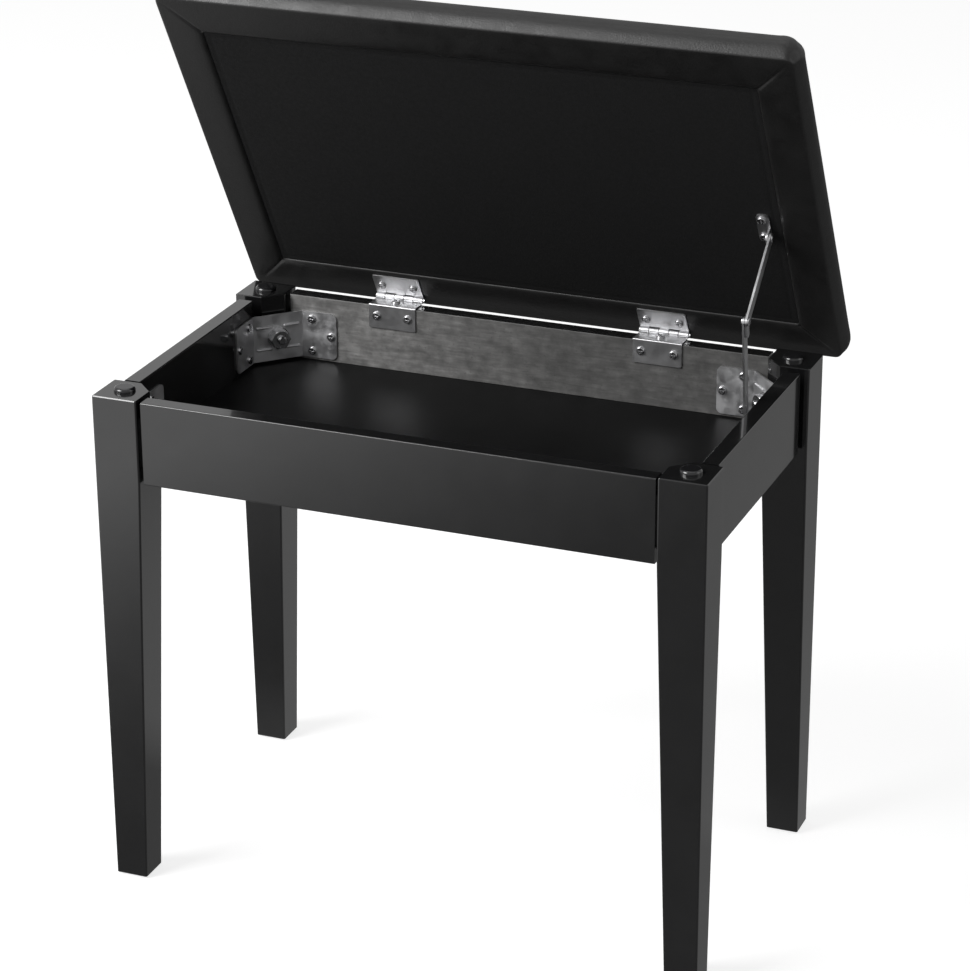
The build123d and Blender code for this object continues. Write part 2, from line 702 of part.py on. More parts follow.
groups = {name: shape if isinstance(shape, list) else [shape] for name, shape in pieces.items()}
boxes = [solid.bounding_box() for group in groups.values() for solid in group]
low = [min(tuple(box.min)[i] for box in boxes) for i in range(3)]
high = [max(tuple(box.max)[i] for box in boxes) for i in range(3)]
home = Location((-(low[0] + high[0]) / 2, -(low[1] + high[1]) / 2, -low[2]))
for name, group in groups.items():
    moved = [solid.moved(home) for solid in group]
    export_step(moved[0] if len(moved) == 1 else Compound(moved), f"parts/{name}.step")

print("origin moved by", [round(v, 4) for v in home.position])
print("size", [round(b - a, 2) for a, b in zip(low, high)])
print("pivots (Y, Z): hinge", (hinge_y, hinge_z), "lid", lid_pivot, "elbow", elbow, "rail", rail_pivot)
print("stay planes", ear_inner, ear_outer, upper_outer, "lid underside", lid_under)
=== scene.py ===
import json
import math

import bmesh
import bpy
from bpy.props import FloatProperty, FloatVectorProperty, IntProperty, PointerProperty
from mathutils import Matrix, Vector


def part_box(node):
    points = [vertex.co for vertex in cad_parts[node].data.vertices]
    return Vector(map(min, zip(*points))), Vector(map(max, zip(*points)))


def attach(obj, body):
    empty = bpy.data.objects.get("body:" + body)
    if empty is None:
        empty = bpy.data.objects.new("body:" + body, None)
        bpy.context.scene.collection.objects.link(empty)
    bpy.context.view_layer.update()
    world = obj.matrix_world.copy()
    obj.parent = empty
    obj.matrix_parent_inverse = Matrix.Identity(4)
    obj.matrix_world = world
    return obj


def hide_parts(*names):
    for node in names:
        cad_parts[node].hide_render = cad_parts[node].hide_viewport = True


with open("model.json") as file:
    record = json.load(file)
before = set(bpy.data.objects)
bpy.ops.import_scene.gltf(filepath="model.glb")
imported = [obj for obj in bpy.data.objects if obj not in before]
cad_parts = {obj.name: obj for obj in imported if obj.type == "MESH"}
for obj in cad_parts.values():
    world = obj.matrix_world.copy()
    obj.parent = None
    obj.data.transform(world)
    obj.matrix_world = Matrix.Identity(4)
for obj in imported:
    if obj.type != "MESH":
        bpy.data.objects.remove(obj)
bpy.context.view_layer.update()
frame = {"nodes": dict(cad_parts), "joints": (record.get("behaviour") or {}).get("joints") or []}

bl_info = {
    "name": "Piano bench",
    "version": (1, 0, 0),
    "blender": (4, 5, 0),
    "location": "View3D > Sidebar > Bench",
    "description": "Pads and finishes a piano bench with a storage compartment, and sets its stage",
    "category": "Object",
}

MM = 0.001
CORNERS = ("front_left", "front_right", "back_left", "back_right")
SIDES = ("left", "right")

LEGS = ["leg_" + corner for corner in CORNERS]
BUMPERS = ["bumper_" + corner for corner in CORNERS]
GLIDES = ["glide_" + corner for corner in CORNERS]
PLAIN_RAILS = ["rail_front", "rail_left", "rail_right"]
BRACKETS = ["bracket_" + corner for corner in CORNERS]
PRESSED_STEEL = (
    ["hinge_frame_leaf_" + side for side in SIDES]
    + ["hinge_lid_leaf_" + side for side in SIDES]
    + ["stay_rail_plate", "stay_lower_link", "stay_upper_link", "stay_lid_bracket"]
)
TURNED_STEEL = (
    ["hinge_pin_" + side for side in SIDES]
    + ["hanger_bolts", "bracket_washers", "bracket_nuts", "bracket_screws"]
    + ["hinge_frame_screws", "hinge_lid_screws", "stay_rail_screws", "stay_rail_stud"]
    + ["stay_elbow_tail", "stay_elbow_head", "stay_lid_screws", "stay_lid_rivet"]
)

# The padded lid is drawn shut and then swung open about its hinges.
HINGE = next(joint for joint in frame["joints"] if joint["name"] == "lid_hinge")
HINGE_POINT = Vector(HINGE["pos_m"])
SWING_OPEN = (
    Matrix.Translation(HINGE_POINT)
    @ Matrix.Rotation(-math.radians(HINGE["range_deg"][1]), 4, "X")
    @ Matrix.Translation(-HINGE_POINT)
)

# The cover's line from the edge of the seat down to the fold: (outset, height) in mm.
WALL_LINE = (
    (-22.0, 36.4), (-13.8, 35.0), (-6.9, 33.2), (-1.5, 30.8), (2.8, 27.6), (5.4, 23.6),
    (6.5, 18.8), (6.2, 14.2), (5.2, 10.0), (3.8, 6.4), (2.4, 3.6), (1.4, 1.7), (0.6, 0.6),
    (0.0, 0.1), (-1.0, 0.0), (-4.5, 0.0))
# Its line on under the lid, to the dust sheet: (share of the border's width, height in mm).
BORDER_LINE = (
    (0.32, 0.0), (0.46, -0.05), (0.60, -0.05), (0.72, 0.0), (0.81, 0.1), (0.88, 0.32),
    (0.93, 0.72), (0.972, 1.35), (0.994, 2.0), (1.0, 2.6), (1.0, 3.2))

# How the cover is filled, gathered and folded.
ROW_CROWDING = 0.75  # 0 spaces the rows evenly, 1 crowds them at the edges
HELD_HEIGHTS = (6 * MM, 20 * MM)  # above the fold: held below the first, free above the second
CLOTH = {
    "quality": 6, "mass": 0.25, "tension_stiffness": 20, "compression_stiffness": 20,
    "shear_stiffness": 8, "bending_stiffness": 1.5, "vertex_group_mass": "held",
    "use_pressure": True}
GATHER_RISE = (0.2, 3.0)  # mm above the fold, where the gathers begin and where they are full
GATHER_FADE = (5.0, 20.0)  # where they start to fade and where they end
GATHER_FROM = 0.6  # share of the corner's radius inside which nothing is gathered
MITRE_SPAN = (-0.1, 0.9)  # shares of the way from the border's inner corner to its outer one
MITRE_FADE = (0.25, 0.9)
MITRE_CEILING = 1.2 * MM  # points higher than this above the underside stay

# How the dust sheet is laid.
SHEET_ROWS = (110, 72)
SHEET_CROWDING = 0.8
SHEET_LIFT = 0.05 * MM
SHEET_THICKNESS = 0.4 * MM
SHEET_SHARP_ANGLE = math.radians(40)
HEM_SPREAD = 1.1 * MM
SLACK = 0.12 * MM
SLACK_WAVES = (31, 43)  # radians a metre, across and along
SLACK_START = 0.6
SLACK_MARGIN = 0.03  # full slack this far in from the edge, in metres

# Finishes.
NOISE_SPAN = (0.3, 0.7)  # the part of a noise's range that is used
DUST = (0.10, 0.10, 0.10)
BOARD_DUST = (0.12, 0.12, 0.12)
LINT = (0.06, 0.06, 0.06)
LACQUER_COAT = 0.9
COAT_ROUGHNESS = 0.05
RAW_FACE_DEPTH = 0.35 * MM  # how far the raw face reaches into the back rail
SHADE_SPAN = (-0.17, 0.03)  # metres from the middle, where the raw wood is painted darker to the right, as painted shade of the light falling off
SHADE_DEPTH = 0.62

# The stage, and how bright its floor is in reflections, by place in metres.
LAMP_AIM = Vector((0.0, 0.0, 0.42))
FLOOR_SIZE = 14.0
BRIGHT_WAY = (-1.0, -0.35, 0.0)  # the floor brightens along this direction
BRIGHT_SPAN = (0.35, 1.05)
BRIGHT_LEVELS = (0.17, 1.0)
BEHIND_SPAN = (-0.12, 0.12)  # front to back, where the level behind the bench comes in
RIGHT_SPAN = (-0.05, 0.45)  # left to right, where that level changes
BEHIND_LEVELS = (0.31, 0.18)


def shut_box(node):
    """Lowest and highest corner of a lid node with the lid shut."""
    back = SWING_OPEN.inverted()
    points = [back @ corner.co for corner in frame["nodes"][node].data.vertices]
    low = Vector([min(point[axis] for point in points) for axis in range(3)])
    high = Vector([max(point[axis] for point in points) for axis in range(3)])
    return low, high


def start_piece(name):
    """Names the mesh that was just added and gives its object."""
    piece = bpy.context.active_object
    piece.name = name
    piece.data.name = name
    return piece


def clear_selection():
    """Leaves edit mode and selects nothing."""
    if bpy.context.mode != "OBJECT":
        bpy.ops.object.mode_set(mode="OBJECT")
    bpy.ops.object.select_all(action="DESELECT")


def make_active(piece):
    """Selects one object alone, in object mode."""
    clear_selection()
    bpy.context.view_layer.objects.active = piece
    piece.select_set(True)


def edge_crowded(share, crowd):
    """Moves a place from -1 to 1 towards the nearer end, so rows crowd at the edges."""
    return (1 - crowd) * share + crowd * math.sin(share * math.pi / 2)


def rounded_corner(x, y, half_x, half_y, radius):
    """Moves a point of a rectangle's corner square into the quarter disc of that radius."""
    over_x = abs(x) - (half_x - radius)
    over_y = abs(y) - (half_y - radius)
    if over_x <= 0 or over_y <= 0:
        return x, y
    part_x = min(over_x / radius, 1.0)
    part_y = min(over_y / radius, 1.0)
    new_x = half_x - radius + radius * part_x * math.sqrt(1 - part_y * part_y / 2)
    new_y = half_y - radius + radius * part_y * math.sqrt(1 - part_x * part_x / 2)
    return math.copysign(new_x, x), math.copysign(new_y, y)


def smooth_step(value, low, high):
    """Rises softly from 0 to 1 between two values."""
    share = max(0.0, min(1.0, (value - low) / (high - low)))
    return share * share * (3 - 2 * share)


def feed(tree, socket, value):
    """Links a node's input to another node's output, or sets its value."""
    if isinstance(value, bpy.types.NodeSocket):
        tree.links.new(value, socket)
    else:
        socket.default_value = value


def add_node(tree, kind, settings=None, inputs=None):
    """Adds a shader node; inputs are named or numbered, and are values or sockets to link."""
    node = tree.nodes.new(kind)
    for key, value in (settings or {}).items():
        setattr(node, key, value)
    for key, value in (inputs or {}).items():
        feed(tree, node.inputs[key], value)
    return node


def ramp(tree, value, start, end, low=0.0, high=1.0, shape="LINEAR"):
    """Takes a value from one range to another, held at the ends."""
    node = add_node(tree, "ShaderNodeMapRange", {"interpolation_type": shape}, {
        "Value": value, "From Min": start, "From Max": end, "To Min": low, "To Max": high})
    return node.outputs["Result"]


def new_group(name, inputs, outputs):
    """A shader node group with its sockets: inputs are (name, kind, default)."""
    group = bpy.data.node_groups.new(name, "ShaderNodeTree")
    for label, kind, default in inputs:
        socket = group.interface.new_socket(label, in_out="INPUT", socket_type=kind)
        if default is not None:
            socket.default_value = default
    for label, kind in outputs:
        group.interface.new_socket(label, in_out="OUTPUT", socket_type=kind)
    return group, group.nodes.new("NodeGroupInput"), group.nodes.new("NodeGroupOutput")


def mottle_group():
    """Soft cloudy variation between two values."""
    if "mottle" in bpy.data.node_groups:
        return bpy.data.node_groups["mottle"]
    group, given, result = new_group(
        "mottle",
        [("Vector", "NodeSocketVector", None), ("Scale", "NodeSocketFloat", 50.0),
         ("Detail", "NodeSocketFloat", 3.0), ("Low", "NodeSocketFloat", 0.0),
         ("High", "NodeSocketFloat", 1.0)],
        [("Value", "NodeSocketFloat")],
    )
    cloud = add_node(group, "ShaderNodeTexNoise", None, {
        "Vector": given.outputs["Vector"], "Scale": given.outputs["Scale"],
        "Detail": given.outputs["Detail"], "Roughness": 0.55})
    spread = ramp(
        group, cloud.outputs["Fac"], *NOISE_SPAN, given.outputs["Low"], given.outputs["High"])
    group.links.new(spread, result.inputs["Value"])
    return group


def streaks_group():
    """Variation drawn out along one direction, for grain and for brushing."""
    if "streaks" in bpy.data.node_groups:
        return bpy.data.node_groups["streaks"]
    group, given, result = new_group(
        "streaks",
        [("Vector", "NodeSocketVector", None), ("Stretch", "NodeSocketVector", (1, 1, 1)),
         ("Detail", "NodeSocketFloat", 4.0), ("Low", "NodeSocketFloat", 0.0),
         ("High", "NodeSocketFloat", 1.0)],
        [("Value", "NodeSocketFloat")],
    )
    drawn_out = add_node(group, "ShaderNodeVectorMath", {"operation": "MULTIPLY"}, {
        0: given.outputs["Vector"], 1: given.outputs["Stretch"]})
    grain = add_node(group, "ShaderNodeTexNoise", None, {
        "Vector": drawn_out.outputs["Vector"], "Scale": 1.0,
        "Detail": given.outputs["Detail"], "Roughness": 0.6, "Distortion": 0.15})
    spread = ramp(
        group, grain.outputs["Fac"], *NOISE_SPAN, given.outputs["Low"], given.outputs["High"])
    group.links.new(spread, result.inputs["Value"])
    return group


def specks_group():
    """A mask of small scattered specks, for dust and for flecks."""
    if "specks" in bpy.data.node_groups:
        return bpy.data.node_groups["specks"]
    group, given, result = new_group(
        "specks",
        [("Vector", "NodeSocketVector", None), ("Scale", "NodeSocketFloat", 150.0),
         ("Size", "NodeSocketFloat", 0.05), ("Strength", "NodeSocketFloat", 0.5)],
        [("Mask", "NodeSocketFloat")],
    )
    scatter = add_node(group, "ShaderNodeTexVoronoi", None, {
        "Vector": given.outputs["Vector"], "Scale": given.outputs["Scale"]})
    speck = ramp(group, scatter.outputs["Distance"], 0.0, given.outputs["Size"],
                 given.outputs["Strength"], 0.0)
    group.links.new(speck, result.inputs["Mask"])
    return group


def use_group(tree, group, **inputs):
    """Places a node group in a material with its own values and gives its output."""
    placed = add_node(tree, "ShaderNodeGroup", {"node_tree": group}, inputs)
    return placed.outputs[0]


def clouds(tree, coords, scale, low=0.0, high=1.0, detail=3.0):
    return use_group(
        tree, mottle_group(), Vector=coords, Scale=scale, Detail=detail, Low=low, High=high)


def streaks(tree, coords, stretch, detail):
    return use_group(tree, streaks_group(), Vector=coords, Stretch=stretch, Detail=detail)


def specks(tree, coords, scale, size, strength):
    return use_group(
        tree, specks_group(), Vector=coords, Scale=scale, Size=size, Strength=strength)


def new_finish(name):
    """A material with its shader and the piece's own coordinates."""
    finish = bpy.data.materials.new(name)
    finish.use_nodes = True
    tree = finish.node_tree
    coords = add_node(tree, "ShaderNodeTexCoord").outputs["Object"]
    return finish, tree, tree.nodes["Principled BSDF"], coords


def set_shader(tree, shader, **inputs):
    """Feeds the shader's sockets, named with an underscore for each space."""
    for name, value in inputs.items():
        feed(tree, shader.inputs[name.replace("_", " ")], value)


def blend_colours(tree, factor, first, second):
    """A colour between two colours, by a factor that varies over the surface."""
    mix = tree.nodes.new("ShaderNodeMix")
    mix.data_type = "RGBA"
    feed(tree, mix.inputs[0], factor)
    for socket, colour in ((mix.inputs[6], first), (mix.inputs[7], second)):
        linked = isinstance(colour, bpy.types.NodeSocket)
        feed(tree, socket, colour if linked else (*colour, 1.0))
    return mix.outputs[2]


def tinted(colour, amount):
    """A colour made lighter or darker by a factor."""
    return tuple(min(1.0, part * amount) for part in colour)


def math_node(tree, operation, first, second):
    node = add_node(tree, "ShaderNodeMath", {"operation": operation}, {0: first, 1: second})
    return node.outputs[0]


def bump(tree, height, distance, normal=None):
    """A normal raised by a height pattern, on top of another normal if one is given."""
    node = add_node(tree, "ShaderNodeBump", None, {"Height": height, "Distance": distance})
    if normal is not None:
        tree.links.new(normal, node.inputs["Normal"])
    return node.outputs["Normal"]


def dress(nodes, finish):
    """Gives one finish to CAD nodes, in place of their plain colours."""
    for name in nodes:
        mesh = frame["nodes"][name].data
        mesh.materials.clear()
        mesh.materials.append(finish)


def length(name, description, default):
    return FloatProperty(name=name, description=description, default=default, unit="LENGTH")


def tint(name, description, default):
    return FloatVectorProperty(
        name=name, description=description, default=default, subtype="COLOR", min=0, max=1)


class BenchPadSizes(bpy.types.PropertyGroup):
    crown: length(
        "Crown", "Height of the seat's middle above its edge, before filling", 3.2 * MM)
    bulge: length(
        "Bulge", "How far the seat's walls stand out past the fold", 7.5 * MM)
    swell: length(
        "Swell", "The furthest that the filling may push the cover", 3.0 * MM)
    corner: length(
        "Corner radius", "Radius of the cover's corners at the fold", 6.0 * MM)
    corner_growth: FloatProperty(
        name="Corner growth",
        description="Corner radius added for each unit of height above the fold",
        default=0.28)
    inner_corner: length(
        "Inner corner", "Radius at the inner corners of the border", 2.0 * MM)
    pleat_depth: length(
        "Pleat depth", "Depth of the gathers at the cover's corners", 0.8 * MM)
    pleats: IntProperty(
        name="Pleats", description="Gathers around each corner", default=1)
    mitre_depth: length(
        "Mitre depth", "Depth of the folded line across each border corner", 1.0 * MM)
    mitre_width: length(
        "Mitre width", "Half width of the folded line", 1.5 * MM)
    pressure: FloatProperty(
        name="Pressure", description="Pressure of the filling in the cloth simulation", default=4.0)
    frames: IntProperty(
        name="Frames", description="Length of the cloth simulation", default=20)
    columns: IntProperty(
        name="Columns", description="Rows of the cover's mesh across the seat", default=96)
    rows: IntProperty(
        name="Rows", description="Rows of the cover's mesh from front to back", default=64)
    hem: length(
        "Hem", "Distance of the dust sheet's pressed hem from its edge", 5.0 * MM)
    hem_depth: length(
        "Hem depth", "Depth of the pressed hem line", 0.35 * MM)


class BenchFinishes(bpy.types.PropertyGroup):
    lacquer: tint(
        "Lacquer", "Black lacquer of the legs and rails",
        (0.0085, 0.0085, 0.0088))
    raw_wood: tint(
        "Raw wood", "Thinly stained inner face of the back rail",
        (0.260, 0.257, 0.252))
    floor_board: tint(
        "Floor board", "Painted board under the compartment",
        (0.0052, 0.0052, 0.0054))
    cover: tint(
        "Cover", "Black leather cloth of the seat",
        (0.0142, 0.0139, 0.0139))
    dust_sheet: tint(
        "Dust sheet", "Felted cloth under the seat",
        (0.0080, 0.0080, 0.0082))
    zinc: tint(
        "Zinc", "Plated steel of the brackets, hinges and stay",
        (0.66, 0.66, 0.67))
    steel: tint(
        "Steel", "Turned and cold-headed steel of the bolts, nuts and screws",
        (0.58, 0.58, 0.59))
    bumper: tint(
        "Bumper", "Soft bumpers on the leg tops",
        (0.010, 0.010, 0.011))
    glide: tint(
        "Glide", "Moulded glides under the legs",
        (0.020, 0.020, 0.021))
    plywood: tint(
        "Plywood", "Board inside the seat",
        (0.42, 0.30, 0.19))


class BenchStageSettings(bpy.types.PropertyGroup):
    camera_place: FloatVectorProperty(
        name="Camera", description="Place of the camera",
        default=(0.96710, -2.37569, 1.40770), subtype="TRANSLATION", unit="LENGTH")
    camera_turn: FloatProperty(
        name="Turn", description="Turn of the camera about the upright axis",
        default=math.radians(21.515), subtype="ANGLE")
    camera_tilt: FloatProperty(
        name="Tilt", description="How far the camera looks down",
        default=math.radians(22.892), subtype="ANGLE")
    camera_roll: FloatProperty(
        name="Roll", description="Roll of the camera about its view",
        default=math.radians(-0.13), subtype="ANGLE")
    lens: FloatProperty(name="Lens", description="Focal length in millimetres", default=122.21)
    shift: FloatVectorProperty(
        name="Shift", description="Shift of the picture across and up",
        size=2, default=(-0.02752, 0.01705))
    key_power: FloatProperty(
        name="Key light", description="Power of the large lamp at the front left",
        default=105.0, unit="POWER")
    fill_power: FloatProperty(
        name="Fill light", description="Power of the lamp at the right",
        default=5.0, unit="POWER")
    top_power: FloatProperty(
        name="Top light", description="Power of the lamp overhead", default=7.0, unit="POWER")
    sky: FloatProperty(
        name="Sky", description="Level of the light from all round", default=0.25)
    sky_mirrored: FloatProperty(
        name="Mirrored sky", description="Level of the pale backdrop as reflections show it",
        default=0.50)
    floor_white: FloatProperty(
        name="Floor white", description="White that the camera sees besides the lit floor",
        default=0.78)
    floor_tone: FloatProperty(
        name="Floor tone", description="Share of light that the floor gives back", default=0.45)


class BENCH_OT_lacquered_wood(bpy.types.Operator):
    """Finishes the legs, the rails and the floor board"""

    bl_idname = "bench.lacquered_wood"
    bl_label = "Lacquered wood"

    def execute(self, context):
        colours = context.scene.bench_finishes
        dress(LEGS + PLAIN_RAILS, self.lacquer("black_lacquer", colours.lacquer))
        dress(["rail_back"], self.half_lacquer(colours))
        dress(["floor_panel"], self.painted_board(colours.floor_board))
        return {"FINISHED"}

    def lacquer(self, name, colour):
        """Deep black lacquer with a faint ripple and a little dust."""
        finish, tree, shader, coords = new_finish(name)
        cloud = clouds(tree, coords, scale=18.0)
        dust = specks(tree, coords, scale=95.0, size=0.055, strength=0.35)
        body = blend_colours(tree, cloud, tinted(colour, 0.8), tinted(colour, 1.25))
        set_shader(
            tree, shader,
            Base_Color=blend_colours(tree, dust, body, DUST),
            Roughness=clouds(tree, coords, scale=35.0, low=0.12, high=0.22),
            Normal=self.ripple(tree, coords),
            Coat_Weight=LACQUER_COAT, Coat_Roughness=COAT_ROUGHNESS)
        return finish

    def ripple(self, tree, coords):
        """The faint waviness of sprayed lacquer."""
        wave = clouds(tree, coords, scale=240.0, detail=1.0)
        return bump(tree, wave, 0.012 * MM)

    def half_lacquer(self, colours):
        """Lacquer with the compartment side left as thinly stained wood, painted darker towards its
        right end as painted shade.
        """
        finish, tree, shader, coords = new_finish("back_rail_lacquer")
        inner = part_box("rail_back")[0].y + RAW_FACE_DEPTH
        place = add_node(tree, "ShaderNodeSeparateXYZ", None, {0: coords})
        raw = math_node(tree, "LESS_THAN", place.outputs["Y"], inner)
        grain = streaks(tree, coords, stretch=(48.0, 60.0, 330.0), detail=5.0)
        cloud = clouds(tree, coords, scale=95.0, detail=6.0)
        flecks = specks(tree, coords, scale=190.0, size=0.2, strength=0.5)
        # Painted shade: the raw face's colour darkens towards the right, where the light falls off.
        painted_shade = ramp(tree, place.outputs["X"], *SHADE_SPAN, 0.0, SHADE_DEPTH)
        wood = blend_colours(
            tree, grain, tinted(colours.raw_wood, 0.70), tinted(colours.raw_wood, 1.45))
        stained = blend_colours(
            tree, math_node(tree, "MULTIPLY", cloud, 0.85), wood, tinted(colours.raw_wood, 0.42))
        shaded = blend_colours(tree, painted_shade, stained, tinted(colours.raw_wood, 0.18))
        worn = blend_colours(tree, flecks, shaded, tinted(colours.raw_wood, 0.2))
        sheen = clouds(tree, coords, scale=35.0, low=0.12, high=0.22)
        matt = clouds(tree, coords, scale=60.0, low=0.50, high=0.68)
        gloss = add_node(tree, "ShaderNodeMix", None, {0: raw, 2: sheen, 3: matt})
        pores = bump(tree, math_node(tree, "MULTIPLY", grain, raw), 0.10 * MM)
        set_shader(
            tree, shader,
            Base_Color=blend_colours(tree, raw, tuple(colours.lacquer), worn),
            Roughness=gloss.outputs[0], Normal=pores,
            Coat_Weight=math_node(
                tree, "SUBTRACT", LACQUER_COAT, math_node(tree, "MULTIPLY", raw, LACQUER_COAT)),
            Coat_Roughness=COAT_ROUGHNESS)
        return finish

    def painted_board(self, colour):
        """Satin black paint on a smooth board."""
        finish, tree, shader, coords = new_finish("painted_board")
        cloud = clouds(tree, coords, scale=12.0, detail=5.0)
        dust = specks(tree, coords, scale=130.0, size=0.06, strength=0.12)
        body = blend_colours(tree, cloud, tinted(colour, 0.75), tinted(colour, 1.3))
        fine = clouds(tree, coords, scale=500.0, detail=2.0)
        set_shader(
            tree, shader,
            Base_Color=blend_colours(tree, dust, body, BOARD_DUST),
            Roughness=clouds(tree, coords, scale=9.0, low=0.36, high=0.42),
            Normal=bump(tree, fine, 0.004 * MM), Specular_IOR_Level=0.10)
        return finish


class BENCH_OT_hardware(bpy.types.Operator):
    """Finishes the brackets, bolts, hinges and the folding stay"""

    bl_idname = "bench.hardware"
    bl_label = "Hardware"

    def execute(self, context):
        zinc = context.scene.bench_finishes.zinc
        steel = context.scene.bench_finishes.steel
        sheet = {"rolling": (260.0, 30.0, 30.0), "unevenness": 0.25 * MM}
        bar = {"rolling": (300.0, 300.0, 90.0), "unevenness": 0.05 * MM}
        dress(BRACKETS, self.plated("bracket_zinc", zinc, smooth=0.34, rough=0.66, **sheet))
        dress(PRESSED_STEEL, self.plated("pressed_zinc", zinc, smooth=0.34, rough=0.44, **sheet))
        dress(TURNED_STEEL, self.plated("turned_steel", steel, smooth=0.20, rough=0.30, **bar))
        return {"FINISHED"}

    def plated(self, name, colour, smooth, rough, rolling, unevenness):
        """Plated steel, not quite flat, with soft clouds, rolling marks and a few dull spots."""
        finish, tree, shader, coords = new_finish(name)
        cloud = clouds(tree, coords, scale=70.0, detail=2.0)
        dents = clouds(tree, coords, scale=62.0, detail=0.0)
        lines = streaks(tree, coords, stretch=rolling, detail=2.0)
        spots = specks(tree, coords, scale=160.0, size=0.07, strength=0.3)
        plate = blend_colours(tree, cloud, tinted(colour, 0.92), tinted(colour, 1.05))
        rubbed = blend_colours(
            tree, math_node(tree, "MULTIPLY", lines, 0.25), plate, tinted(colour, 0.8))
        set_shader(
            tree, shader,
            Base_Color=blend_colours(tree, spots, rubbed, tinted(colour, 0.55)),
            Roughness=clouds(tree, coords, scale=90.0, low=smooth, high=rough),
            Normal=bump(tree, lines, 0.004 * MM, bump(tree, dents, unevenness)), Metallic=1.0)
        return finish


class BENCH_OT_bumpers_and_glides(bpy.types.Operator):
    """Finishes the bumpers on the leg tops and the glides under the legs"""

    bl_idname = "bench.bumpers_and_glides"
    bl_label = "Bumpers and glides"

    def execute(self, context):
        colours = context.scene.bench_finishes
        dress(BUMPERS, self.moulded(
            "soft_bumper", colours.bumper, smooth=0.10, rough=0.20, coat=0.6))
        dress(GLIDES, self.moulded(
            "moulded_glide", colours.glide, smooth=0.38, rough=0.55, coat=0.0))
        return {"FINISHED"}

    def moulded(self, name, colour, smooth, rough, coat):
        """Moulded plastic with a fine skin and a few scuffs."""
        finish, tree, shader, coords = new_finish(name)
        skin = clouds(tree, coords, scale=900.0, detail=2.0)
        scuffs = specks(tree, coords, scale=350.0, size=0.1, strength=0.4)
        body = blend_colours(tree, skin, tinted(colour, 0.85), tinted(colour, 1.2))
        set_shader(
            tree, shader,
            Base_Color=blend_colours(tree, scuffs, body, tinted(colour, 3.0)),
            Roughness=clouds(tree, coords, scale=200.0, low=smooth, high=rough),
            Normal=bump(tree, skin, 0.01 * MM), Coat_Weight=coat, Coat_Roughness=0.08)
        return finish


class BENCH_OT_seat_board(bpy.types.Operator):
    """Finishes the plywood board inside the seat"""

    bl_idname = "bench.seat_board"
    bl_label = "Seat board"

    def execute(self, context):
        colour = context.scene.bench_finishes.plywood
        finish, tree, shader, coords = new_finish("seat_plywood")
        grain = streaks(tree, coords, stretch=(12.0, 260.0, 260.0), detail=5.0)
        cloud = clouds(tree, coords, scale=9.0)
        veneer = blend_colours(tree, grain, tinted(colour, 0.75), tinted(colour, 1.15))
        set_shader(
            tree, shader,
            Base_Color=blend_colours(
                tree, math_node(tree, "MULTIPLY", cloud, 0.3), veneer, tinted(colour, 0.6)),
            Roughness=clouds(tree, coords, scale=80.0, low=0.55, high=0.75),
            Normal=bump(tree, grain, 0.1 * MM))
        dress(["lid_board"], finish)
        return {"FINISHED"}


